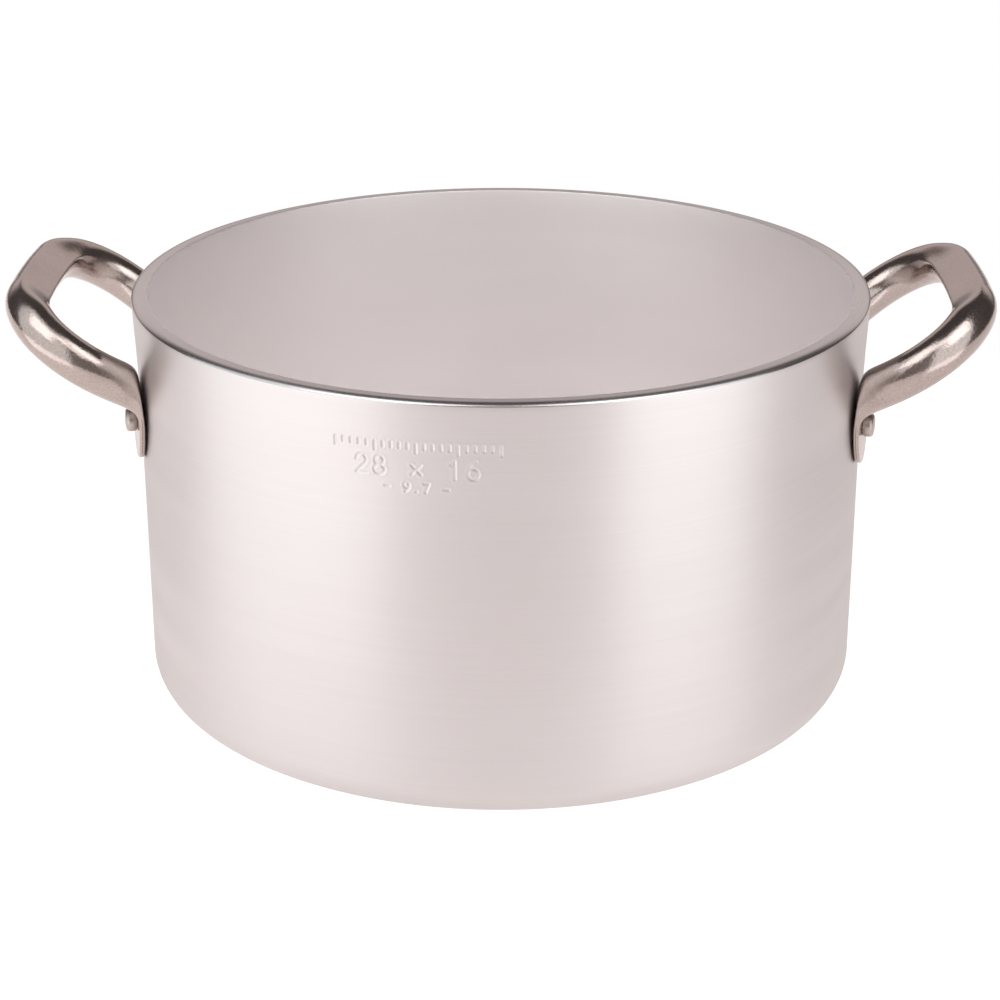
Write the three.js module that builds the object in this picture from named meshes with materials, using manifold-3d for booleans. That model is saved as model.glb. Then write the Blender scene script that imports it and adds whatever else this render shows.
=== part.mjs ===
// A stock pot: a heavy spun aluminium vessel with two stainless tube handles, each riveted on
// through its two flattened ends. Millimetres, +Z up, origin at the centre of the underside.
import * as THREE from "three";
import { mergeVertices } from "three/addons/utils/BufferGeometryUtils.js";
import Module from "manifold-3d";

const wasm = await Module();
wasm.setup();

const degrees = THREE.MathUtils.degToRad;

// Driving dimensions
const POT = {
  radius: 138.7, // outside of the wall
  innerRadius: 133.8,
  height: 157,
  base: 6,
  outerCorner: 12, // radius between wall and underside
  innerCorner: 9, // radius between wall and inner floor
  segments: 88,
};
const RIM = {
  radius: 140, // the wall thickens outward to this at the top
  flare: 38, // depth below the rim where the thickening starts
  flarePower: 1.2,
  outerRound: { radial: 2.8, axial: 1.4 },
  innerRound: 0.5,
};
const TUBE = { radius: 8, wall: 1 };
const FLANGE = {
  azimuth: degrees(15.3), // of its rivet, measured from the handle's middle
  rivetZ: 113,
  lean: degrees(19.5), // the two flanges of a handle converge downward by this much each
  thickness: 2.2, // two layers of tube wall, with a slit between them
  tip: 16.4, // from the rivet down the flange to its end
  taper: 17.5, // length of the half oval that the end is cut to
  fold: 4.4, // from the rivet up to where the flat part ends and the tube opens
  root: 13.7, // from the rivet up to where the round tube's axis would meet the wall
};
const HANDLE = {
  tilt: degrees(34.8), // slope of the plane that the tube is bent in
  splay: 0.75, // the legs spread this much sideways for each millimetre they leave the wall
  firstArm: 29.3, // the leg is one cubic curve: its first control point's distance out
  secondArm: 24.4, // and its second one's distance sideways from the grip
  reach: 52.8, // from the wall to the grip's axis, along the tilted plane
  gripHalf: 21.8, // half length of the nearly straight grip
  gripBow: 0.5, // how far the grip's middle stands out
};
const GRIP = {
  radius: 8.5, // the pressed section starts as this circle
  top: 5.4, // and is pressed flat at this height above the axis
  inner: 7, // and on the side that faces the pot
  blend: 9, // length over which the round tube becomes the pressed section
};
const RIVET = {
  shank: 2.5,
  outerHead: 4.4,
  outerHeight: 4,
  outerRound: 1.6,
  innerHead: 5.2,
  innerHeight: 1.8,
  segments: 16,
};
const GAP = 0.3; // running gap kept between neighbouring solids

// Fineness and corner shapes of the handle's loft
const RING_POINTS = 16;
const TIP_DEPTHS = [0.3, 1.2, 3, 6, 10, 14.5];
const OPENING_STEPS = 7;
const LEG_OPEN = 0.13; // share of the leg's curve where the tube is fully round
const LEG_STEPS = 12;
const GRIP_STEPS = 3;
const WALL_CORNER = { sharpness: 0.98, lift: 0.8 };
const OUTER_CORNER = { sharpness: 0.85, lift: 0 };

// Manifold solids from three.js geometry, and back
function solidOf(geometry) {
  const bare = geometry.index ? geometry.toNonIndexed() : geometry.clone();
  bare.deleteAttribute("normal");
  bare.deleteAttribute("uv");
  const merged = mergeVertices(bare, 1e-4);
  const index = merged.index.array;
  const faces = [];
  for (let i = 0; i < index.length; i += 3) {
    const [a, b, c] = [index[i], index[i + 1], index[i + 2]];
    if (a !== b && b !== c && c !== a) faces.push(a, b, c);
  }
  const build = (triangles) =>
    new wasm.Manifold(
      new wasm.Mesh({
        numProp: 3,
        vertProperties: merged.attributes.position.array,
        triVerts: new Uint32Array(triangles),
      }),
    );
  const solid = build(faces);
  return solid.volume() > 0 ? solid : build(faces.reverse());
}

function geometryOf(solid) {
  const { vertProperties, triVerts } = solid.getMesh();
  const geometry = new THREE.BufferGeometry();
  geometry.setAttribute("position", new THREE.BufferAttribute(vertProperties, 3));
  geometry.setIndex(new THREE.BufferAttribute(triVerts, 1));
  geometry.computeVertexNormals();
  return geometry;
}

// Points of an elliptical arc in a lathe profile, angles in quarter turns
function arc(cx, cz, rx, rz, from, to, steps) {
  return Array.from({ length: steps + 1 }, (_, i) => {
    const angle = ((from + ((to - from) * i) / steps) * Math.PI) / 2;
    return new THREE.Vector2(cx + rx * Math.cos(angle), cz + rz * Math.sin(angle));
  });
}

// A lathe turns its profile about Y, so the result is stood up along Z
function turned(profile, segments) {
  return new THREE.LatheGeometry(profile, segments).rotateX(Math.PI / 2);
}

// A rivet and its bore are made along Z, and this lays them along a radius of the pot
function layRadially(geometry, azimuth) {
  return geometry.rotateY(Math.PI / 2).rotateZ(azimuth).translate(0, 0, FLANGE.rivetZ);
}

const rivetAzimuths = {
  rivet_right_rear: FLANGE.azimuth,
  rivet_right_front: -FLANGE.azimuth,
  rivet_left_rear: Math.PI - FLANGE.azimuth,
  rivet_left_front: Math.PI + FLANGE.azimuth,
};

// A bore for a rivet's shank, from inside the pot to outside the flange
function rivetBore(azimuth) {
  const radius = RIVET.shank + GAP;
  const length = 30;
  const bore = new THREE.CylinderGeometry(radius, radius, length, RIVET.segments);
  bore.rotateX(Math.PI / 2).translate(0, 0, POT.radius);
  return solidOf(layRadially(bore, azimuth));
}

// The wall's outline thickens outward towards the rim
function flare(steps) {
  return Array.from({ length: steps + 1 }, (_, i) => {
    const share = i / steps;
    return new THREE.Vector2(
      THREE.MathUtils.lerp(POT.radius, RIM.radius, share ** RIM.flarePower),
      POT.height - RIM.outerRound.axial - RIM.flare * (1 - share),
    );
  });
}

function potBody() {
  const { radius, innerRadius, height, base, outerCorner, innerCorner } = POT;
  const { outerRound, innerRound } = RIM;
  const profile = [
    new THREE.Vector2(0, 0),
    ...arc(radius - outerCorner, outerCorner, outerCorner, outerCorner, -1, 0, 6),
    ...flare(5),
    ...arc(
      RIM.radius - outerRound.radial,
      height - outerRound.axial,
      outerRound.radial,
      outerRound.axial,
      0,
      1,
      5,
    ).slice(1),
    ...arc(innerRadius + innerRound, height - innerRound, innerRound, innerRound, 1, 2, 2),
    ...arc(
      innerRadius - innerCorner,
      base + innerCorner,
      innerCorner,
      innerCorner,
      0,
      -1,
      5,
    ),
    new THREE.Vector2(0, base),
  ];
  const blank = solidOf(turned(profile, POT.segments));
  const bores = Object.values(rivetAzimuths).map(rivetBore);
  return geometryOf(bores.reduce((solid, bore) => solid.subtract(bore), blank));
}

// One rivet: low inner head, shank, and a tall rounded outer head
function rivet(azimuth) {
  const { shank, outerHead, outerHeight, outerRound, innerHead, innerHeight } = RIVET;
  const outerSeat = POT.radius + GAP + FLANGE.thickness + GAP;
  const innerSeat = POT.innerRadius - 0.5; // clears the curved wall at the head's edge
  const waist = 0.3; // the outer head is this much narrower at its seat
  const crown = 0.4; // and its end is this much domed
  const top = outerSeat + outerHeight;
  const profile = [
    new THREE.Vector2(0, innerSeat - innerHeight),
    ...arc(0, innerSeat, innerHead, innerHeight, -1, 0, 5).slice(1),
    new THREE.Vector2(shank, innerSeat),
    new THREE.Vector2(shank, outerSeat),
    new THREE.Vector2(outerHead - waist, outerSeat),
    new THREE.Vector2(outerHead, outerSeat + outerHeight * 0.35),
    ...arc(
      outerHead - outerRound,
      top - crown - outerRound,
      outerRound,
      outerRound,
      0,
      0.85,
      4,
    ),
    new THREE.Vector2(0, top),
  ];
  return layRadially(turned(profile, RIVET.segments), azimuth);
}

// The handle is a loft. A section has a centre, unit vectors across its thickness (from the
// top or wall side, down or outward) and across its width (to the outside of the loop), and
// half sizes. A flattened tube keeps its girth, so its width follows from its thickness.
function section(centre, across, side, halfThickness, pressed = 0) {
  const girth = 2 * Math.PI * TUBE.radius;
  const halfWidth = halfThickness + (girth - 2 * Math.PI * halfThickness) / 4;
  return { centre, across, side, halfThickness, halfWidth, pressed };
}

// A ring of points round a section, shrunk by inset for the tube's inside
function ring({ centre, across, side, halfThickness, halfWidth, pressed }, inset) {
  const points = [];
  for (let i = 0; i < RING_POINTS; i++) {
    const angle = ((i + 0.5) / RING_POINTS) * 2 * Math.PI;
    const [c, s] = [Math.cos(angle), Math.sin(angle)];
    const radius = halfThickness - inset;
    const flat = (halfWidth - halfThickness) * Math.sign(s);
    const round = new THREE.Vector2(radius * c, radius * s + flat);
    const grip = GRIP.radius - inset;
    const flattened = new THREE.Vector2(
      Math.max(grip * c, inset - GRIP.top),
      Math.max(grip * s, inset - GRIP.inner),
    );
    const place = round.lerp(flattened, pressed);
    points.push(
      centre.clone().addScaledVector(across, place.x).addScaledVector(side, place.y),
    );
  }
  return points;
}

function loft(sections, inset) {
  const rings = sections.map((one) => ring(one, inset));
  const n = RING_POINTS;
  const index = [];
  for (let k = 0; k + 1 < rings.length; k++)
    for (let i = 0; i < n; i++) {
      const j = (i + 1) % n;
      const [a, b, c, d] = [k * n + i, k * n + j, (k + 1) * n + j, (k + 1) * n + i];
      index.push(a, b, c, a, c, d);
    }
  const last = (rings.length - 1) * n;
  for (let i = 1; i + 1 < n; i++) {
    index.push(0, i + 1, i);
    index.push(last, last + i, last + i + 1);
  }
  const geometry = new THREE.BufferGeometry().setFromPoints(rings.flat());
  geometry.setIndex(index);
  return solidOf(geometry);
}

// Directions at the +Y flange: out of the wall, round the wall, up the flange, and across it
const up = new THREE.Vector3(0, 0, 1);
const { azimuth, lean } = FLANGE;
const radial = new THREE.Vector3(Math.cos(azimuth), Math.sin(azimuth), 0);
const around = new THREE.Vector3(-radial.y, radial.x, 0);
const flangeAxis = up
  .clone()
  .multiplyScalar(Math.cos(lean))
  .addScaledVector(around, Math.sin(lean));
const flangeSide = around
  .clone()
  .multiplyScalar(Math.cos(lean))
  .addScaledVector(up, -Math.sin(lean));

// A point on the flange, by its height out of the wall and distance up from the rivet
function flangePoint(outward, along) {
  return radial
    .clone()
    .multiplyScalar(POT.radius + GAP + outward)
    .addScaledVector(up, FLANGE.rivetZ)
    .addScaledVector(flangeAxis, along);
}

// The tube's bending plane: u runs outward up the slope, and y sideways
const root = flangePoint(0, FLANGE.root);
const planeU = new THREE.Vector3(Math.cos(HANDLE.tilt), 0, Math.sin(HANDLE.tilt));
const planeNormal = new THREE.Vector3(-planeU.z, 0, planeU.x);

function onPlane(u, y) {
  return root.clone().setY(y).addScaledVector(planeU, u);
}

// The leg leaves the wall, spreads a little and bends round into the grip
function legCurve() {
  const { splay, firstArm, secondArm, reach, gripHalf } = HANDLE;
  return new THREE.CubicBezierCurve3(
    root,
    onPlane(firstArm, root.y + firstArm * splay),
    onPlane(reach, gripHalf + secondArm),
    onPlane(reach, gripHalf),
  );
}

// A line that runs straight up the flange, turns a corner, and follows the tube to its end.
// Lift is how far the corner stands off the line of the flange.
function turnUp(start, end, direction, { sharpness, lift }) {
  const rise = (end.clone().sub(start).dot(radial) - lift) / direction.dot(radial);
  const corner = end.clone().addScaledVector(direction, -rise);
  return new THREE.CubicBezierCurve3(
    start,
    start.clone().lerp(corner, sharpness),
    end.clone().lerp(corner, sharpness),
    end,
  );
}

function flangeSections() {
  const half = FLANGE.thickness / 2;
  return TIP_DEPTHS.map((depth) => {
    const one = section(flangePoint(half, depth - FLANGE.tip), radial, flangeSide, half);
    one.halfWidth *= Math.sqrt(1 - (1 - depth / FLANGE.taper) ** 2);
    return one;
  });
}

// Opening out: the side against the wall climbs to a corner under the top of the tube, and
// the outer side turns out of the flange along the bottom of the tube.
function openingSections(leg) {
  const centre = leg.getPoint(LEG_OPEN);
  const along = leg.getTangent(LEG_OPEN);
  const outward = planeNormal.clone().cross(along);
  const top = centre.clone().addScaledVector(planeNormal, TUBE.radius);
  const bottom = centre.clone().addScaledVector(planeNormal, -TUBE.radius);
  const wallSide = turnUp(flangePoint(0, FLANGE.fold), top, along, WALL_CORNER);
  const outerStart = flangePoint(FLANGE.thickness, FLANGE.fold);
  const outerSide = turnUp(outerStart, bottom, along, OUTER_CORNER);
  return Array.from({ length: OPENING_STEPS + 1 }, (_, i) => {
    const t = i / OPENING_STEPS;
    const wallPoint = wallSide.getPoint(t);
    const outerPoint = outerSide.getPoint(t);
    const side = flangeSide.clone().lerp(outward, t * t).normalize();
    const across = outerPoint.clone().sub(wallPoint);
    across.addScaledVector(side, -across.dot(side));
    const size = across.length() / 2;
    return section(wallPoint.lerp(outerPoint, 0.5), across.normalize(), side, size);
  });
}

// Round tube along the leg, turning into the pressed grip at the end of the bend
function legSections(leg) {
  const length = leg.getLength();
  const down = planeNormal.clone().negate();
  return Array.from({ length: LEG_STEPS }, (_, i) => {
    const t = LEG_OPEN + ((1 - LEG_OPEN) * (i + 1)) / LEG_STEPS;
    const side = planeNormal.clone().cross(leg.getTangent(t));
    const left = (1 - t) * length;
    const pressed = 1 - THREE.MathUtils.smoothstep(left, 0, GRIP.blend);
    return section(leg.getPoint(t), down, side, TUBE.radius, pressed);
  });
}

function gripSections() {
  const down = planeNormal.clone().negate();
  return Array.from({ length: GRIP_STEPS }, (_, i) => {
    const share = 1 - (i + 1) / GRIP_STEPS;
    const bow = HANDLE.gripBow * (1 - share ** 2);
    const centre = onPlane(HANDLE.reach + bow, HANDLE.gripHalf * share);
    return section(centre, down, planeU, TUBE.radius, 1);
  });
}

function mirrored(one) {
  const flip = (v) => new THREE.Vector3(v.x, -v.y, v.z);
  return {
    ...one,
    centre: flip(one.centre),
    across: flip(one.across),
    side: flip(one.side),
  };
}

// The right handle: a hollow tube, open at its two tips, drilled for its rivets
function handle() {
  const leg = legCurve();
  const half = [
    ...flangeSections(),
    ...openingSections(leg),
    ...legSections(leg),
    ...gripSections(),
  ];
  const sections = [...half, ...half.slice(0, -1).reverse().map(mirrored)];
  const overrun = 2; // the hollow is cut past the tips by this much
  const beyond = { ...half[0], centre: flangePoint(FLANGE.thickness / 2, -FLANGE.tip - overrun) };
  const hollow = [beyond, ...sections, mirrored(beyond)];
  let solid = loft(sections, 0).subtract(loft(hollow, TUBE.wall));
  for (const side of [1, -1]) solid = solid.subtract(rivetBore(side * azimuth));
  return geometryOf(solid);
}

// Materials
const spunAluminium = new THREE.MeshStandardMaterial({
  color: 0xd8d4d2,
  roughness: 0.45,
  metalness: 1,
});
const polishedSteel = new THREE.MeshStandardMaterial({
  color: 0xb4aca6,
  roughness: 0.22,
  metalness: 1,
});
const rivetSteel = new THREE.MeshStandardMaterial({
  color: 0xb9b0aa,
  roughness: 0.35,
  metalness: 1,
});

function named(name, geometry, material) {
  const mesh = new THREE.Mesh(geometry, material);
  mesh.name = name;
  return mesh;
}

const pot = new THREE.Group();
pot.add(named("pot_body", potBody(), spunAluminium));

const handleGeometry = handle();
pot.add(named("handle_right", handleGeometry, polishedSteel));
const leftHandle = named("handle_left", handleGeometry, polishedSteel);
leftHandle.rotation.z = Math.PI;
pot.add(leftHandle);

for (const [name, direction] of Object.entries(rivetAzimuths))
  pot.add(named(name, rivet(direction), rivetSteel));

export default pot;
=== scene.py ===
"""The stock pot's looks: a satin spun aluminium vessel with polished stainless tube handles."""
import math

import bmesh
import bpy
import numpy as np
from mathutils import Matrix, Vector


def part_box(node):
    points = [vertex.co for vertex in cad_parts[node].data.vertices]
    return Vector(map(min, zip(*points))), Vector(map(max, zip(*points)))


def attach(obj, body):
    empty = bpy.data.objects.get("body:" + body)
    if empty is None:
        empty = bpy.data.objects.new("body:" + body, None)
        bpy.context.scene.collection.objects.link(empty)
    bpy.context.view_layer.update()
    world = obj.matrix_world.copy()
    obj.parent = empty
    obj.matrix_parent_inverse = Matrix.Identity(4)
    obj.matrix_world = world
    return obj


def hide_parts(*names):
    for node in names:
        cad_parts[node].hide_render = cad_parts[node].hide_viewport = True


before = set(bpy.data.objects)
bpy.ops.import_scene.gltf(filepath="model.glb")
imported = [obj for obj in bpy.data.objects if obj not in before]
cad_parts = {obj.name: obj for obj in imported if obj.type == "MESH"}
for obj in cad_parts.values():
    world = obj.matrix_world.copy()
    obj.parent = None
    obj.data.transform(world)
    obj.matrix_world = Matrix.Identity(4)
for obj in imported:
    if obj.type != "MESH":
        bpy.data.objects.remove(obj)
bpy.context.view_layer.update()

MM = 0.001

# The vessel, in millimetres
WALL_RADIUS = 138.7
INNER_RADIUS = 133.8
BASE = 6.0
OUTER_CORNER = 12.0
INNER_CORNER = 9.0
RIM_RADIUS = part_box("pot_body")[1].x / MM
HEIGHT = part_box("pot_body")[1].z / MM
FLARE = 38.0  # the wall thickens outward over this depth below the rim
FLARE_POWER = 1.2
RIM_ROUND = (2.8, 1.4)  # the rim's outer edge is rounded this much inward and downward
RIM_EDGE = 0.5  # and its inner edge by this radius
BORE = 2.6  # radius of a rivet's hole

# The faint waves that spinning leaves, in millimetres, fading in and out over these heights
WAVE_OUTSIDE = 0.004
WAVE_INSIDE = 0.008
WAVES_FADE_IN = (BASE + 12, BASE + 30)
WAVES_FADE_OUT = (HEIGHT - 22, HEIGHT - 6)

# The stamp on the front
STAMP_AZIMUTH = math.radians(-100.5)  # measured from +X, so a little left of the front
STAMP_HEIGHT = 132.0
STAMP_SIZE = (70.0, 24.0)
STAMP_STEP = 0.28  # spacing of the mesh under the stamp
STAMP_DEPTH = 0.22
STAMP_LIP = 0.06
GROOVE_EDGE = (0.1, 0.62)  # a groove fades out between these distances from its stroke
LIP_PLACE = (0.95, 0.3)  # a lip's distance from the stroke, and its width

# The handles and rivets
RIVET_AZIMUTH = math.radians(15.3)  # to either side of the handle's middle
RIVET_HEIGHT = 113.0
TUBE = 7.92  # the handle tube's radius
PLATE = 2.2  # a flange's thickness
LEAN = math.radians(19.5)  # of the flanges, away from the handle's middle
TILT = math.radians(34.8)  # of the handle's loop, above the horizontal
SEAT = WALL_RADIUS + 0.3  # the flanges start here

SHARP_ANGLE = math.radians(40)  # faces that meet at more than this have a sharp edge

# The studio
FLOOR_RADIUS = 460.0
PAINTED_FOOT_SHADE = 0.8  # painted shade: the reflected floor's light at the pot's foot, as a share of the open floor's
FOOT_RUN = 0.02  # metres from the foot over which it becomes the open floor's

# The camera, fitted to the ellipses of the photo's rim, wall and base
CAMERA_AZIMUTH = math.radians(1.2)
CAMERA_ELEVATION = 0.3746
CAMERA_DISTANCE = 0.94564
CAMERA_SENSOR = 36.0
CAMERA_LENS = 86.35
CAMERA_SHIFT = (-0.0009, -0.0276)
CAMERA_AIM = (0, 0, HEIGHT / 2 * MM - 0.0005)


def unit(vector):
    return vector / np.linalg.norm(vector)


def smoothstep(value, low, high):
    t = np.clip((value - low) / (high - low), 0, 1)
    return t * t * (3 - 2 * t)


def arc(cx, cz, rx, rz, start, end, steps=10):
    """Points of an elliptical arc, its angles in quarter turns."""
    angles = np.linspace(start, end, steps + 1) * math.pi / 2
    return [(cx + rx * math.cos(a), cz + rz * math.sin(a)) for a in angles]


def line(start, end, steps):
    """Points between start and end, without start itself."""
    return [tuple(p) for p in np.linspace(start, end, steps + 1)[1:]]


def new_object(name, vertices, faces):
    """A smoothly shaded object from vertices in millimetres."""
    mesh = bpy.data.meshes.new(name)
    mesh.from_pydata([tuple(v) for v in np.asarray(vertices) * MM], [], faces)
    shaped = bmesh.new()
    shaped.from_mesh(mesh)
    bmesh.ops.recalc_face_normals(shaped, faces=shaped.faces)
    shaped.to_mesh(mesh)
    shaped.free()
    mesh.shade_smooth()
    mesh.set_sharp_from_angle(angle=SHARP_ANGLE)
    piece = bpy.data.objects.new(name, mesh)
    bpy.context.scene.collection.objects.link(piece)
    return piece


def grid_faces(rows, columns, first=0):
    """Quads between successive rings of a grid that closes round on itself."""
    faces = []
    for k in range(rows - 1):
        for i in range(columns):
            j = (i + 1) % columns
            a, b = first + k * columns, first + (k + 1) * columns
            faces.append((a + i, a + j, b + j, b + i))
    return faces


def turned(name, profile, angles, shift=None):
    """A solid of revolution round Z. The profile starts and ends on the axis."""
    body = np.array(profile[1:-1])
    azimuth, radius = np.meshgrid(angles, body[:, 0])
    height = np.repeat(body[:, 1:2], len(angles), axis=1)
    if shift:
        radius = radius + shift(azimuth, radius, height)
    rings = np.stack([radius * np.cos(azimuth), radius * np.sin(azimuth), height], -1)
    count = len(angles)
    vertices = np.vstack([[0, 0, profile[0][1]], rings.reshape(-1, 3), [0, 0, profile[-1][1]]])
    faces = grid_faces(len(body), count, first=1)
    last_ring = 1 + (len(body) - 1) * count
    for i in range(count):
        j = (i + 1) % count
        faces.append((0, 1 + j, 1 + i))
        faces.append((len(vertices) - 1, last_ring + i, last_ring + j))
    return new_object(name, vertices, faces)


# The stamp: single-stroke numerals in a box of height 1
GLYPHS = {
    "1": [[(0.14, 0.8), (0.34, 1.0), (0.34, 0.0)]],
    "2": [arc(0.3, 0.71, 0.27, 0.29, 2, -0.45) + [(0.02, 0.0), (0.6, 0.0)]],
    "6": [arc(0.3, 0.3, 0.28, 0.3, 0, 4, 16), arc(0.64, 0.3, 0.62, 0.72, 1.2, 2, 8)],
    "7": [[(0.02, 1.0), (0.58, 1.0), (0.2, 0.0)]],
    "8": [arc(0.3, 0.75, 0.23, 0.25, 0, 4, 14), arc(0.3, 0.25, 0.29, 0.25, 0, 4, 16)],
    "9": [arc(0.3, 0.7, 0.28, 0.3, 0, 4, 16), arc(-0.04, 0.7, 0.62, 0.72, -0.8, 0, 8)],
    "x": [[(0.05, 0.15), (0.55, 0.65)], [(0.05, 0.65), (0.55, 0.15)]],
    "-": [[(0.05, 0.45), (0.55, 0.45)]],
    ".": [[(0.28, 0.0), (0.32, 0.04)]],
    "|": [[(0.3, 0.0), (0.3, 1.0)]],
    "'": [[(0.3, 0.45), (0.3, 1.0)]],
}
GLYPH_MIDDLE = 0.3
# Each line: its text, the height of its foot above the stamp's middle, letter height and pitch
STAMP_LINES = [
    ("|''''|''''|''''|''''|", 6.6, 3.2, 2.85),
    ("28 x 16", -2.2, 6.6, 6.4),
    ("- 9.7 -", -7.6, 3.2, 3.4),
]


def stamp_strokes():
    """The stamp's straight segments, as pairs of points in millimetres from its middle."""
    segments = []
    for text, foot, size, pitch in STAMP_LINES:
        left = -pitch * (len(text) - 1) / 2
        for column, letter in enumerate(text):
            middle = left + column * pitch
            for points in GLYPHS.get(letter, []):
                moved = [((x - GLYPH_MIDDLE) * size + middle, y * size + foot) for x, y in points]
                segments += list(zip(moved[:-1], moved[1:]))
    return np.array(segments)


def stamp_depth(u, v):
    """How far the stamp moves the surface at (u, v), in millimetres: grooves with raised lips."""
    nearest = np.full(u.shape, np.inf)
    for (ax, ay), (bx, by) in stamp_strokes():
        dx, dy = bx - ax, by - ay
        t = np.clip(((u - ax) * dx + (v - ay) * dy) / (dx * dx + dy * dy), 0, 1)
        nearest = np.minimum(nearest, np.hypot(u - ax - t * dx, v - ay - t * dy))
    groove = 1 - smoothstep(nearest, *GROOVE_EDGE)
    lip = np.exp(-(((nearest - LIP_PLACE[0]) / LIP_PLACE[1]) ** 2))
    return STAMP_LIP * lip - STAMP_DEPTH * groove


def column_angles():
    """Azimuths of the vessel's columns, close together where the stamp is."""
    half = STAMP_SIZE[0] / 2 / WALL_RADIUS
    close_columns = int(STAMP_SIZE[0] / STAMP_STEP) + 1
    wide_columns = 240
    at_stamp = np.linspace(-half, half, close_columns)
    elsewhere = np.linspace(half, 2 * math.pi - half, wide_columns)[1:-1]
    return np.concatenate([at_stamp, elsewhere]) + STAMP_AZIMUTH


def wall_outline():
    """The outer wall from the bottom corner to the rim, with close rows at the stamp."""
    top = HEIGHT - RIM_ROUND[1]
    low, high = STAMP_HEIGHT - STAMP_SIZE[1] / 2, STAMP_HEIGHT + STAMP_SIZE[1] / 2
    rows_below, rows_above = 18, 8
    heights = np.concatenate([
        np.linspace(OUTER_CORNER, low, rows_below)[1:],
        np.linspace(low, high, int(STAMP_SIZE[1] / STAMP_STEP))[1:],
        np.linspace(high, top, rows_above)[1:],
    ])
    share = np.clip(1 - (top - heights) / FLARE, 0, 1)
    radii = WALL_RADIUS + (RIM_RADIUS - WALL_RADIUS) * share**FLARE_POWER
    return list(zip(radii, heights))


def vessel_profile():
    """Half the vessel's section, from the middle of its underside round to that of its floor."""
    radial, axial = RIM_ROUND
    outer = WALL_RADIUS - OUTER_CORNER
    inner = INNER_RADIUS - INNER_CORNER
    land = INNER_RADIUS + RIM_EDGE
    return [
        (0, 0),
        *line((0, 0), (outer, 0), 9),
        *arc(outer, OUTER_CORNER, OUTER_CORNER, OUTER_CORNER, -1, 0, 12)[1:],
        *wall_outline(),
        *arc(RIM_RADIUS - radial, HEIGHT - axial, radial, axial, 0, 1, 8)[1:],
        *line((RIM_RADIUS - radial, HEIGHT), (land, HEIGHT), 3),
        *arc(land, HEIGHT - RIM_EDGE, RIM_EDGE, RIM_EDGE, 1, 2, 4)[1:],
        *line((INNER_RADIUS, HEIGHT - RIM_EDGE), (INNER_RADIUS, BASE + INNER_CORNER), 26),
        *arc(inner, BASE + INNER_CORNER, INNER_CORNER, INNER_CORNER, 0, -1, 9)[1:],
        *line((inner, BASE), (0, BASE), 12),
    ]


def vessel_shift(azimuth, radius, height):
    """Moves the walls by the stamp's depth and by the waves that spinning leaves."""
    outside = radius > (INNER_RADIUS + WALL_RADIUS) / 2
    turn = (azimuth - STAMP_AZIMUTH + math.pi) % (2 * math.pi) - math.pi
    u, v = turn * WALL_RADIUS, height - STAMP_HEIGHT
    stamped = (abs(u) < STAMP_SIZE[0] / 2) & (abs(v) < STAMP_SIZE[1] / 2) & outside
    shift = np.zeros(radius.shape)
    shift[stamped] = stamp_depth(u[stamped], v[stamped])
    # rings of two spacings, the wider ones wandering a little, and a slow threefold swell
    waves = np.sin(height / 4.1 + 0.8 * np.sin(azimuth)) + 0.7 * np.sin(height / 2.3 + 1.9)
    waves += 1.2 * np.sin(3 * azimuth + height / 31)
    on_wall = smoothstep(height, *WAVES_FADE_IN) * (1 - smoothstep(height, *WAVES_FADE_OUT))
    return shift + np.where(outside, WAVE_OUTSIDE, WAVE_INSIDE) * on_wall * waves


def along_radius(points, azimuth):
    """Turns points made along Z so that they lie along a radius of the pot at a rivet."""
    x, y, z = np.asarray(points, float).T
    c, s = math.cos(azimuth), math.sin(azimuth)
    return np.stack([z * c - y * s, z * s + y * c, RIVET_HEIGHT - x], -1)


def place_radially(piece, azimuth):
    """Moves a piece that was made round Z to a rivet's place at this azimuth."""
    points = np.array([vertex.co for vertex in piece.data.vertices]) / MM
    for vertex, moved in zip(piece.data.vertices, along_radius(points, azimuth) * MM):
        vertex.co = moved


def cut(piece, cutters):
    """Cuts the cutters out of the piece and removes them."""
    for cutter in cutters:
        modifier = piece.modifiers.new("cut", "BOOLEAN")
        modifier.operation = "DIFFERENCE"
        modifier.solver = "EXACT"
        modifier.object = cutter
    bpy.context.view_layer.update()
    evaluated = piece.evaluated_get(bpy.context.evaluated_depsgraph_get())
    mesh = bpy.data.meshes.new_from_object(evaluated)
    piece.modifiers.clear()
    piece.data = mesh
    for cutter in cutters:
        bpy.data.objects.remove(cutter)
    mesh.set_sharp_from_angle(angle=SHARP_ANGLE)


RIVETS = {
    "rivet_right_rear": RIVET_AZIMUTH,
    "rivet_right_front": -RIVET_AZIMUTH,
    "rivet_left_rear": math.pi - RIVET_AZIMUTH,
    "rivet_left_front": math.pi + RIVET_AZIMUTH,
}
ROUND = np.linspace(0, 2 * math.pi, 49)[:-1]

# A rivet's parts: radii, how far each head stands off what it holds, and heights
SHANK, INNER_HEAD, OUTER_HEAD = 2.5, 5.2, 4.4
INNER_PLAY, OUTER_PLAY = 0.25, 0.15
INNER_EDGE, DOME, BARREL = 0.25, 1.55, 4.0
CROWN_EDGE, CROWN = 1.3, (2.9, 0.3)  # radius of the outer head's rounding, and its low crown


def bore(azimuth):
    """A cutter for a rivet's hole, long enough to pass through wall and flange."""
    start, end = INNER_RADIUS - 10, WALL_RADIUS + 10
    piece = turned("bore", [(0, start), (BORE, start), (BORE, end), (0, end)], ROUND)
    place_radially(piece, azimuth)
    return piece


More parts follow.
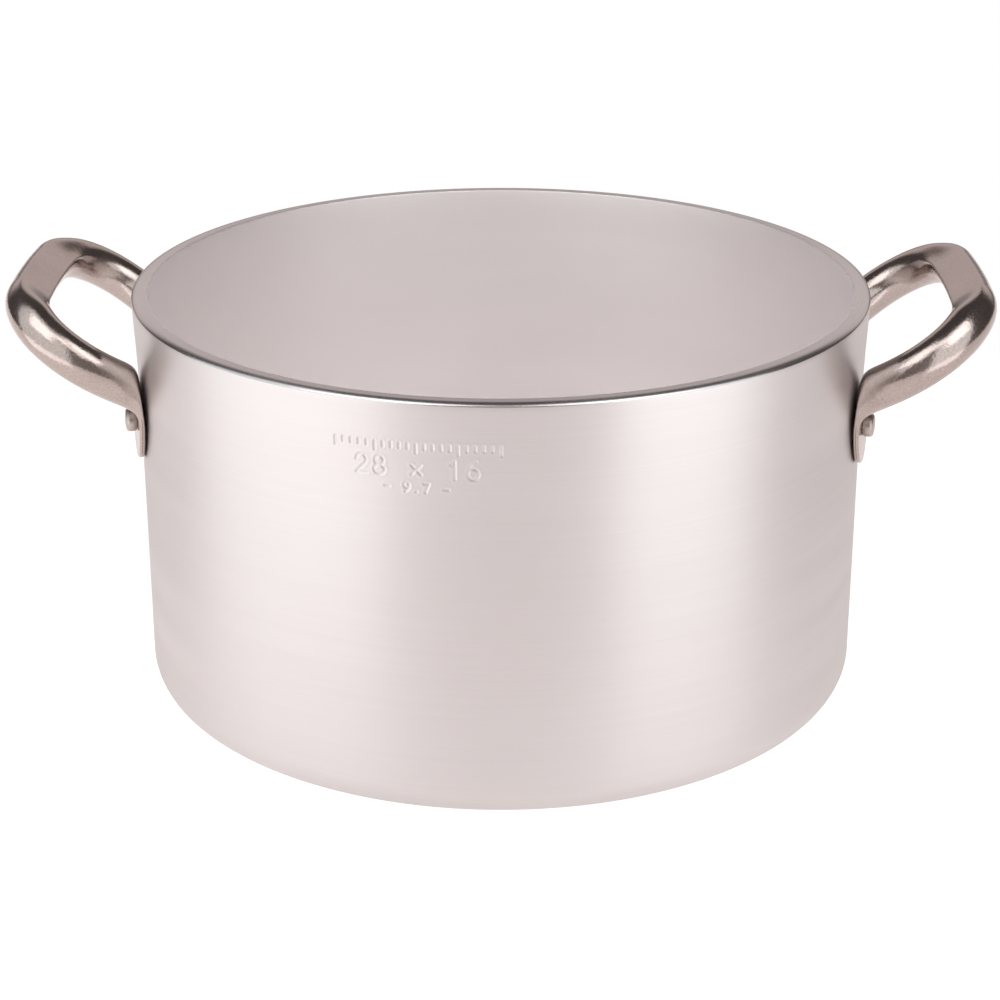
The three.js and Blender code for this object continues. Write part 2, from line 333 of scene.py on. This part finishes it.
def rivet(name, azimuth):
    """Low domed head inside, shank through the wall and flange, tall barrel head outside."""
    inner_seat = INNER_RADIUS - INNER_PLAY
    outer_seat = SEAT + PLATE + OUTER_PLAY
    top = outer_seat + BARREL
    profile = [
        (0, inner_seat - INNER_EDGE - DOME),
        *arc(0, inner_seat - INNER_EDGE, INNER_HEAD, DOME, -1, 0, 12)[1:],
        (INNER_HEAD - 0.1, inner_seat),
        *line((INNER_HEAD - 0.1, inner_seat), (SHANK, inner_seat), 3),
        (SHANK, outer_seat),
        *line((SHANK, outer_seat), (OUTER_HEAD - 0.45, outer_seat), 2),
        (OUTER_HEAD - 0.2, outer_seat + 0.25),
        (OUTER_HEAD, outer_seat + 1.2),
        *arc(OUTER_HEAD - CROWN_EDGE, top - 1.55, CROWN_EDGE, CROWN_EDGE, 0, 0.86, 8),
        *arc(0, top - CROWN[1], *CROWN, 0.12, 1, 5),
    ]
    piece = turned(name, profile, ROUND)
    place_radially(piece, azimuth)
    return piece


# The handle: a loft of sections from one flange's tip round the loop to the other's
RING = 112
UP = np.array([0.0, 0.0, 1.0])
RADIAL = np.array([math.cos(RIVET_AZIMUTH), math.sin(RIVET_AZIMUTH), 0.0])
AROUND = np.array([-RADIAL[1], RADIAL[0], 0.0])
FLANGE_AXIS = math.cos(LEAN) * UP + math.sin(LEAN) * AROUND
FLANGE_SIDE = math.cos(LEAN) * AROUND - math.sin(LEAN) * UP
SLOPE = np.array([math.cos(TILT), 0.0, math.sin(TILT)])
SLOPE_NORMAL = np.array([-SLOPE[2], 0.0, SLOPE[0]])

# Along the flange from the rivet: down to its tip, up to its fold and up to the leg's root.
# The tip is rounded over the taper's length.
TIP, TAPER, FOLD, ROOT = 16.4, 17.5, 4.4, 13.7
SPLAY, FIRST_ARM, SECOND_ARM = 0.75, 29.3, 24.4  # sideways slope and lengths of the leg's arms
REACH, GRIP_HALF, BOW = 52.8, 21.8, 0.5  # how far out the grip lies, its half length and its bow
LEG_OPEN = 0.13  # share of the leg's curve where the tube is fully round
GRIP_RADIUS = 8.36
GRIP_TOP, GRIP_INNER = 5.4, 6.95  # how far the grip's flats lie from its axis
GRIP_EDGE = 0.5  # softness of the flats' edges
PRESS_RUN = 24.0  # length over which the round tube becomes the pressed grip
SEAM = (0.28, 0.16)  # depth and half width of the slit between the flange's two layers
SEAM_END = 0.35  # share of the opening at which the slit has closed


def flange_point(outward, along):
    """A point this far out from the flange's inner face and this far up it from the rivet."""
    return RADIAL * (SEAT + outward) + UP * RIVET_HEIGHT + FLANGE_AXIS * along


ROOT_POINT = flange_point(0, ROOT)


def on_slope(u, y):
    """A point in the handle's sloping plane, u outward from the root and y along the wall."""
    return np.array([ROOT_POINT[0], y, ROOT_POINT[2]]) + SLOPE * u


def bezier(points, t):
    a, b, c, d = points
    return a * (1 - t) ** 3 + 3 * b * (1 - t) ** 2 * t + 3 * c * (1 - t) * t**2 + d * t**3


def bezier_tangent(points, t):
    a, b, c, d = points
    return unit((b - a) * (1 - t) ** 2 + 2 * (c - b) * (1 - t) * t + (d - c) * t**2)


LEG = (
    ROOT_POINT,
    on_slope(FIRST_ARM, ROOT_POINT[1] + FIRST_ARM * SPLAY),
    on_slope(REACH, GRIP_HALF + SECOND_ARM),
    on_slope(REACH, GRIP_HALF),
)


def soft_max(a, b, softness):
    """The larger of two values, with a rounded change from one to the other."""
    return (a + b + np.sqrt((a - b) ** 2 + softness**2)) / 2


def ring(centre, across, side, half, width_scale=1.0, pressed=0.0, seam=0.0):
    """Points round a section: a flattened tube of constant girth, or the pressed grip."""
    angle = (np.arange(RING) + 0.5) / RING * 2 * math.pi
    c, s = np.cos(angle), np.sin(angle)
    width = (half + (TUBE - half) * math.pi / 2) * width_scale
    x = half * c
    y = half * s + (width - half) * np.sign(s)
    y = y - seam * SEAM[0] * np.sign(s) * np.exp(-((x / SEAM[1]) ** 2))
    flat_x = soft_max(GRIP_RADIUS * c, -GRIP_TOP, GRIP_EDGE)
    flat_y = soft_max(GRIP_RADIUS * s, -GRIP_INNER, GRIP_EDGE)
    x = x + (flat_x - x) * pressed
    y = y + (flat_y - y) * pressed
    return centre + np.outer(x, across) + np.outer(y, side)


def turn_up(start, end, direction, sharpness, lift):
    """A curve that runs up the flange, turns a corner and follows the tube.

    The corner lies outward from the start by lift, and each arm reaches the share of the way to
    it that sharpness gives.
    """
    rise = (np.dot(end - start, RADIAL) - lift) / np.dot(direction, RADIAL)
    corner = end - direction * rise
    return (start, start + (corner - start) * sharpness, end + (corner - end) * sharpness, end)


def flange_rings(steps=15):
    """The flat flange, from its rounded tip to the fold."""
    half = PLATE / 2
    first_angle = 0.1
    depths = TAPER * (1 - np.cos(np.linspace(first_angle, math.pi / 2, steps + 1)))
    rings = []
    for depth in depths:
        scale = math.sqrt(1 - (1 - depth / TAPER) ** 2)
        centre = flange_point(half, depth - TIP)
        rings.append(ring(centre, RADIAL, FLANGE_SIDE, half, width_scale=scale, seam=1.0))
    return rings


def opening_rings(steps=34):
    """From the flat flange to the round tube, between a curve up the wall and one on the outside."""
    centre, along = bezier(LEG, LEG_OPEN), bezier_tangent(LEG, LEG_OPEN)
    outward = np.cross(SLOPE_NORMAL, along)
    top, bottom = centre + SLOPE_NORMAL * TUBE, centre - SLOPE_NORMAL * TUBE
    wall_side = turn_up(flange_point(0, FOLD), top, along, sharpness=0.98, lift=0.8)
    outer_side = turn_up(flange_point(PLATE, FOLD), bottom, along, sharpness=0.85, lift=0.0)
    rings = []
    for t in np.linspace(0, 1, steps + 1):
        wall_point, outer_point = bezier(wall_side, t), bezier(outer_side, t)
        side = unit(FLANGE_SIDE + (outward - FLANGE_SIDE) * t * t)
        across = outer_point - wall_point
        across = across - side * np.dot(across, side)
        half = np.linalg.norm(across) / 2
        seam = 1 - smoothstep(t, 0.0, SEAM_END)
        rings.append(ring((wall_point + outer_point) / 2, unit(across), side, half, seam=seam))
    return rings


def leg_rings(steps=54):
    """The round tube out to the grip, pressed over its last stretch."""
    samples = [bezier(LEG, t) for t in np.linspace(0, 1, 200)]
    length = sum(np.linalg.norm(b - a) for a, b in zip(samples, samples[1:]))
    rings = []
    shares = 1 - np.linspace(1, 0, steps + 1)[1:] ** 1.6  # closer together toward the grip
    for t in LEG_OPEN + (1 - LEG_OPEN) * shares:
        side = np.cross(SLOPE_NORMAL, bezier_tangent(LEG, t))
        pressed = 1 - smoothstep((1 - t) * length, 0.0, PRESS_RUN)
        rings.append(ring(bezier(LEG, t), -SLOPE_NORMAL, side, TUBE, pressed=pressed))
    return rings


def grip_rings(steps=10):
    """Half the pressed grip, to the handle's middle."""
    rings = []
    for share in 1 - np.linspace(0, 1, steps + 1)[1:]:
        centre = on_slope(REACH + BOW * (1 - share**2), GRIP_HALF * share)
        rings.append(ring(centre, -SLOPE_NORMAL, SLOPE, TUBE, pressed=1.0))
    return rings


def handle(name, turn):
    """A whole handle, turned round the pot's axis."""
    half = flange_rings() + opening_rings() + leg_rings() + grip_rings()
    mirror = np.array([1.0, -1.0, 1.0])
    # the mirrored rings list their points in the same order, so the loft needs no twist
    rings = half + [section * mirror for section in reversed(half[:-1])]
    count = len(rings)
    vertices = np.vstack(rings)
    faces = grid_faces(count, RING)
    faces.append(tuple(range(RING)))
    faces.append(tuple(range((count - 1) * RING, count * RING)))
    c, s = math.cos(turn), math.sin(turn)
    vertices = vertices @ np.array([[c, s, 0], [-s, c, 0], [0, 0, 1]])
    piece = new_object(name, vertices, faces)
    cut(piece, [bore(side * RIVET_AZIMUTH + turn) for side in (1, -1)])
    return piece


# Materials
QUARTER_TURN = 0.25  # the shader counts rotation in whole turns


def new_metal(name, roughness, anisotropy=0.0):
    """A metal, with any anisotropy turned so that highlights stretch across the turning lines."""
    material = bpy.data.materials.new(name)
    material.use_nodes = True
    shader = material.node_tree.nodes["Principled BSDF"]
    shader.inputs["Metallic"].default_value = 1.0
    shader.inputs["Roughness"].default_value = roughness
    shader.inputs["Anisotropic"].default_value = anisotropy
    shader.inputs["Anisotropic Rotation"].default_value = QUARTER_TURN
    return material


def add(material, kind, settings=(), **inputs):
    """A new node with its settings, and inputs that are either values or other sockets.

    An input is given by its name, or as i and its number.
    """
    node = material.node_tree.nodes.new(kind)
    for key, value in dict(settings).items():
        setattr(node, key, value)
    for key, value in inputs.items():
        socket = node.inputs[int(key[1:])] if key[0] == "i" and key[1:].isdigit() else node.inputs[key]
        if isinstance(value, bpy.types.NodeSocket):
            material.node_tree.links.new(value, socket)
        else:
            socket.default_value = value
    return node


def noise(material, vector, scale, detail=3.0, roughness=0.5):
    numbers = {"Scale": scale, "Detail": detail, "Roughness": roughness}
    return add(material, "ShaderNodeTexNoise", Vector=vector, **numbers).outputs["Fac"]


def spread(material, value, low, high, source=(0.3, 0.7)):
    """The value stretched from the source range to low and high, and held at its ends."""
    node = add(material, "ShaderNodeMapRange", i0=value, i1=source[0], i2=source[1], i3=low, i4=high)
    return node.outputs["Result"]


def total(material, *terms):
    """The sum of value times factor over the terms."""
    result = None
    for value, factor in terms:
        node = add(material, "ShaderNodeMath", {"operation": "MULTIPLY"}, i0=value, i1=factor)
        scaled = node.outputs[0]
        if result is None:
            result = scaled
        else:
            result = add(material, "ShaderNodeMath", {"operation": "ADD"}, i0=result, i1=scaled).outputs[0]
    return result


def place(material):
    """The point being shaded, in the piece's own coordinates."""
    return add(material, "ShaderNodeTexCoord").outputs["Object"]


LINE_CHANGE = 6.0  # how fast the turning lines change along their length


def turning_lines(material, fineness):
    """A vector in which noise becomes lines that run round the pot's axis."""
    spot = add(material, "ShaderNodeSeparateXYZ", Vector=place(material))
    flat = add(material, "ShaderNodeCombineXYZ", X=spot.outputs["X"], Y=spot.outputs["Y"])
    radius = add(material, "ShaderNodeVectorMath", {"operation": "LENGTH"}, i0=flat.outputs[0])
    across = total(material, (radius.outputs["Value"], fineness), (spot.outputs["Z"], fineness))
    along = total(material, (spot.outputs["X"], LINE_CHANGE))
    depth = total(material, (spot.outputs["Y"], LINE_CHANGE))
    return add(material, "ShaderNodeCombineXYZ", X=across, Y=along, Z=depth).outputs[0]


def colour_between(material, fac, dark, light):
    """A colour from dark to light as fac goes from 0 to 1."""
    mix = add(material, "ShaderNodeMix", {"data_type": "RGBA"}, i0=fac)
    # inputs 6 and 7 and output 2 are the node's colour sockets
    mix.inputs[6].default_value = (*dark, 1.0)
    mix.inputs[7].default_value = (*light, 1.0)
    return mix.outputs[2]


def finish_metal(material, colour, roughness, height, strength, distance):
    """Links a metal's varying colour and roughness, and its bump."""
    shader = material.node_tree.nodes["Principled BSDF"]
    links = material.node_tree.links
    links.new(colour, shader.inputs["Base Color"])
    links.new(roughness, shader.inputs["Roughness"])
    bump = add(material, "ShaderNodeBump", Strength=strength, Distance=distance, Height=height)
    links.new(bump.outputs["Normal"], shader.inputs["Normal"])


def spun_aluminium(name, light, dark, roughness, lines, line_bump, anisotropy):
    """Satin metal with fine lines round the axis, a pearly grain and faint cloudy patches."""
    material = new_metal(name, roughness, anisotropy)
    spot = place(material)
    fine_lines = noise(material, turning_lines(material, lines), 1.0, detail=4.0, roughness=0.6)
    broad_lines = noise(material, turning_lines(material, lines / 9), 1.0, detail=2.0)
    clouds = noise(material, spot, 14.0, detail=4.0, roughness=0.55)
    grain = noise(material, spot, 1900.0, detail=2.0)
    tone = total(material, (clouds, 0.5), (broad_lines, 0.3), (fine_lines, 0.2))
    colour = colour_between(material, spread(material, tone, 0.0, 1.0), dark, light)
    rough = total(material, (clouds, 0.5), (broad_lines, 0.5))
    rough = spread(material, rough, roughness - 0.05, roughness + 0.05)
    height = total(material, (fine_lines, line_bump), (grain, 0.5))
    finish_metal(material, colour, rough, height, strength=0.35, distance=0.00006)
    tangent = add(material, "ShaderNodeTangent", {"direction_type": "RADIAL", "axis": "Z"})
    shader = material.node_tree.nodes["Principled BSDF"]
    material.node_tree.links.new(tangent.outputs[0], shader.inputs["Tangent"])
    return material


def tumbled_steel(name, light, dark, roughness, grain_size, grain_bump):
    """Bright stainless steel that keeps the fine pebbly grain of barrel polishing."""
    material = new_metal(name, roughness)
    spot = place(material)
    pebbles = noise(material, spot, 1 / grain_size, detail=2.0, roughness=0.6)
    scuffs = noise(material, spot, 55.0, detail=5.0, roughness=0.65)
    patches = noise(material, spot, 18.0, detail=3.0)
    tone = total(material, (pebbles, 0.4), (scuffs, 0.3), (patches, 0.3))
    colour = colour_between(material, spread(material, tone, 0.0, 1.0), dark, light)
    rough = total(material, (scuffs, 0.6), (pebbles, 0.4))
    rough = spread(material, rough, roughness - 0.05, roughness + 0.07)
    height = total(material, (pebbles, 1.0), (scuffs, 0.6))
    finish_metal(material, colour, rough, height, strength=grain_bump, distance=0.0001)
    return material


# The vessel's surfaces: light and dark colour, roughness, fineness and bump of the turning lines,
# and anisotropy
SURFACES = {
    "wall": ((0.83, 0.8, 0.795), (0.75, 0.715, 0.71), 0.48, 900, 0.5, 0.7),
    "inside": ((0.98, 0.942, 0.937), (0.96, 0.922, 0.917), 0.6, 800, 0.5, 0.2),
    "rim": ((0.72, 0.69, 0.69), (0.6, 0.575, 0.575), 0.26, 2600, 0.8, 0.7),
    "underside": ((0.8, 0.77, 0.77), (0.72, 0.69, 0.69), 0.34, 1400, 0.9, 0.4),
}
RIM_FINISH = 0.8 * RIM_ROUND[1]  # the rim's finish reaches this far down
UNDERSIDE_FINISH = 0.4  # and the underside's this far up


def surface_at(middle):
    """Which of the vessel's surfaces a face with this middle, in millimetres, belongs to."""
    if math.hypot(middle.x, middle.y) < INNER_RADIUS + RIM_EDGE and middle.z > BASE / 2:
        return "inside"
    if middle.z > HEIGHT - RIM_FINISH:
        return "rim"
    if middle.z < UNDERSIDE_FINISH:
        return "underside"
    return "wall"


def build_vessel():
    piece = turned("vessel", vessel_profile(), column_angles(), vessel_shift)
    cut(piece, [bore(azimuth) for azimuth in RIVETS.values()])
    for surface, look in SURFACES.items():
        piece.data.materials.append(spun_aluminium("aluminium_" + surface, *look))
    slots = list(SURFACES)
    for face in piece.data.polygons:
        face.material_index = slots.index(surface_at(face.center / MM))
    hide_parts("pot_body")
    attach(piece, "root")
    return piece


def build_handles():
    light, dark = (0.58, 0.503, 0.472), (0.38, 0.316, 0.288)
    steel = tumbled_steel("steel_handle", light, dark, roughness=0.16, grain_size=0.0009, grain_bump=0.5)
    for name, turn in (("handle_right", 0.0), ("handle_left", math.pi)):
        piece = handle(name + "_tube", turn)
        piece.data.materials.append(steel)
        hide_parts(name)
        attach(piece, "root")


def build_rivets():
    light, dark = (0.6, 0.53, 0.5), (0.44, 0.385, 0.36)
    steel = tumbled_steel("steel_rivet", light, dark, roughness=0.34, grain_size=0.0005, grain_bump=0.6)
    for name, azimuth in RIVETS.items():
        piece = rivet(name + "_turned", azimuth)
        piece.data.materials.append(steel)
        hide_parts(name)
        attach(piece, "root")


# Studio
def direction(azimuth, elevation):
    """The unit vector from the pot that points this far round from the front and this far up."""
    return Vector((
        math.sin(azimuth) * math.cos(elevation),
        -math.cos(azimuth) * math.cos(elevation),
        math.sin(elevation),
    ))


def paper(name, radius, depth, colour, tint, glow=1.0):
    """A round sheet of paper this deep under the pot, with some light of its own."""
    material = bpy.data.materials.new(name)
    material.use_nodes = True
    shader = material.node_tree.nodes["Principled BSDF"]
    shader.inputs["Base Color"].default_value = (*colour, 1.0)
    shader.inputs["Roughness"].default_value = 0.9
    shader.inputs["Specular IOR Level"].default_value = 0.0
    shader.inputs["Emission Color"].default_value = (*tint, 1.0)
    shader.inputs["Emission Strength"].default_value = glow
    edge = [(radius * math.cos(a), radius * math.sin(a), -depth) for a in ROUND]
    sheet = new_object(name, edge, [tuple(range(len(edge)))])
    sheet.data.materials.append(material)
    return sheet


def shade_sheet(material, left, middle, right):
    """Makes a sheet's own light, painted light, differ to the left, in the middle and to the right.

    Close round the pot's foot it is darker, a painted shadow of the pot.
    """
    shader = material.node_tree.nodes["Principled BSDF"]
    spot = place(material)
    across = add(material, "ShaderNodeSeparateXYZ", Vector=spot).outputs["X"]
    leftward = spread(material, across, left - middle, 0.0, source=(-0.25, -0.02))
    rightward = spread(material, across, middle, right, source=(0.02, 0.3))
    open_floor = total(material, (leftward, 1.0), (rightward, 1.0))
    distance = add(material, "ShaderNodeVectorMath", {"operation": "LENGTH"}, i0=spot).outputs["Value"]
    foot_edge = WALL_RADIUS * MM
    # painted shade: the sheet's own light is lowered close round the pot's foot
    foot = spread(material, distance, PAINTED_FOOT_SHADE, 1.0, source=(foot_edge, foot_edge + FOOT_RUN))
    strength = total(material, (open_floor, foot))
    material.node_tree.links.new(strength, shader.inputs["Emission Strength"])


def pale_floor():
    """White paper for the picture, over grey paper that the metal reflects in its place."""
    white, grey = (0.5, 0.5, 0.5), (0.25, 0.24, 0.235)
    shown = paper("white_paper", FLOOR_RADIUS, 0.2, white, tint=(1.0, 0.995, 0.985), glow=0.9)
    shown.visible_diffuse = False
    shown.visible_glossy = False
    shown.visible_shadow = False
    reflected = paper("grey_paper", 4 * FLOOR_RADIUS, 0.4, grey, tint=(1.0, 0.93, 0.92))
    reflected.visible_camera = False
    shade_sheet(reflected.active_material, left=0.94, middle=0.9, right=0.84)


COOL, WARM = (0.94, 0.98, 1.0), (1.0, 0.985, 0.99)
# Softboxes: middle in metres, azimuth and elevation in degrees, size in metres, radiance and tint
SOFTBOXES = {
    "softbox_left": ((-0.238, -0.15, 0.32), -52.6, 27.0, (0.42, 0.67), 0.88, COOL),
    "softbox_right": ((0.229, -0.168, 0.328), 41.0, 25.1, (0.28, 0.66), 1.0, COOL),
    "softbox_above_left": ((-0.62, -0.52, 1.39), -50.0, 60.0, (1.0, 1.0), 1.32, WARM),
    "softbox_above_right": ((0.62, -0.52, 1.39), 50.0, 60.0, (1.0, 1.0), 1.42, WARM),
}


def softbox(name, middle, azimuth, elevation, size, radiance, tint):
    """An area light. Its azimuth is from the front, and it faces back along its direction."""
    data = bpy.data.lights.new(name, "AREA")
    data.color = tint
    data.shape = "RECTANGLE"
    data.size, data.size_y = size
    data.energy = radiance * size[0] * size[1] * math.pi
    lamp = bpy.data.objects.new(name, data)
    bpy.context.scene.collection.objects.link(lamp)
    back = direction(math.radians(azimuth), math.radians(elevation))
    lamp.location = middle
    lamp.rotation_euler = (-back).to_track_quat("-Z", "Y").to_euler()
    lamp.visible_camera = False


def world_light():
    """White behind the pot for the camera, and a dim studio for everything else."""
    world = bpy.data.worlds.new("studio")
    bpy.context.scene.world = world
    world.use_nodes = True
    nodes, links = world.node_tree.nodes, world.node_tree.links

    def level(value, low, high, start, end):
        """The value stretched from low..high to start..end, and held at its ends."""
        node = nodes.new("ShaderNodeMapRange")
        links.new(value, node.inputs[0])
        for socket, number in zip(node.inputs[1:5], (low, high, start, end)):
            socket.default_value = number
        return node.outputs[0]

    def maths(operation, first, second):
        node = nodes.new("ShaderNodeMath")
        node.operation = operation
        links.new(first, node.inputs[0])
        links.new(second, node.inputs[1])
        return node.outputs[0]

    toward = nodes.new("ShaderNodeSeparateXYZ")
    links.new(nodes.new("ShaderNodeTexCoord").outputs["Generated"], toward.inputs[0])
    # a soft glow from the front, and a band behind the pot, dimmer near the floor and ending above
    front = level(toward.outputs["Y"], 0.2, -0.6, 0.09, 0.28)
    behind = level(toward.outputs["Y"], 0.68, 0.8, 0.0, 1.0)
    rising = level(toward.outputs["Z"], 0.02, 0.2, 0.12, 0.62)
    low_band = level(toward.outputs["Z"], 0.42, 0.55, 1.0, 0.0)
    backdrop_glow = maths("MULTIPLY", behind, maths("MULTIPLY", rising, low_band))
    strength = maths("ADD", front, backdrop_glow)
    room = nodes["Background"]
    room.inputs["Color"].default_value = (1.0, 0.89, 0.87, 1.0)
    links.new(strength, room.inputs["Strength"])
    backdrop = nodes.new("ShaderNodeBackground")
    backdrop.inputs["Color"].default_value = (1.0, 1.0, 1.0, 1.0)
    backdrop.inputs["Strength"].default_value = 1.0
    rays = nodes.new("ShaderNodeLightPath")
    mix = nodes.new("ShaderNodeMixShader")
    links.new(rays.outputs["Is Camera Ray"], mix.inputs[0])
    links.new(room.outputs[0], mix.inputs[1])
    links.new(backdrop.outputs[0], mix.inputs[2])
    links.new(mix.outputs[0], nodes["World Output"].inputs["Surface"])


def make_camera():
    data = bpy.data.cameras.new("camera")
    data.sensor_width = CAMERA_SENSOR
    data.lens = CAMERA_LENS
    data.shift_x, data.shift_y = CAMERA_SHIFT
    camera = bpy.data.objects.new("camera", data)
    bpy.context.scene.collection.objects.link(camera)
    back = direction(CAMERA_AZIMUTH, CAMERA_ELEVATION)
    camera.location = Vector(CAMERA_AIM) + back * CAMERA_DISTANCE
    camera.rotation_euler = (-back).to_track_quat("-Z", "Y").to_euler()
    bpy.context.scene.camera = camera


build_vessel()
build_handles()
build_rivets()
pale_floor()
for box_name, box in SOFTBOXES.items():
    softbox(box_name, *box)
world_light()
make_camera()
bpy.context.scene.view_settings.view_transform = "Standard"
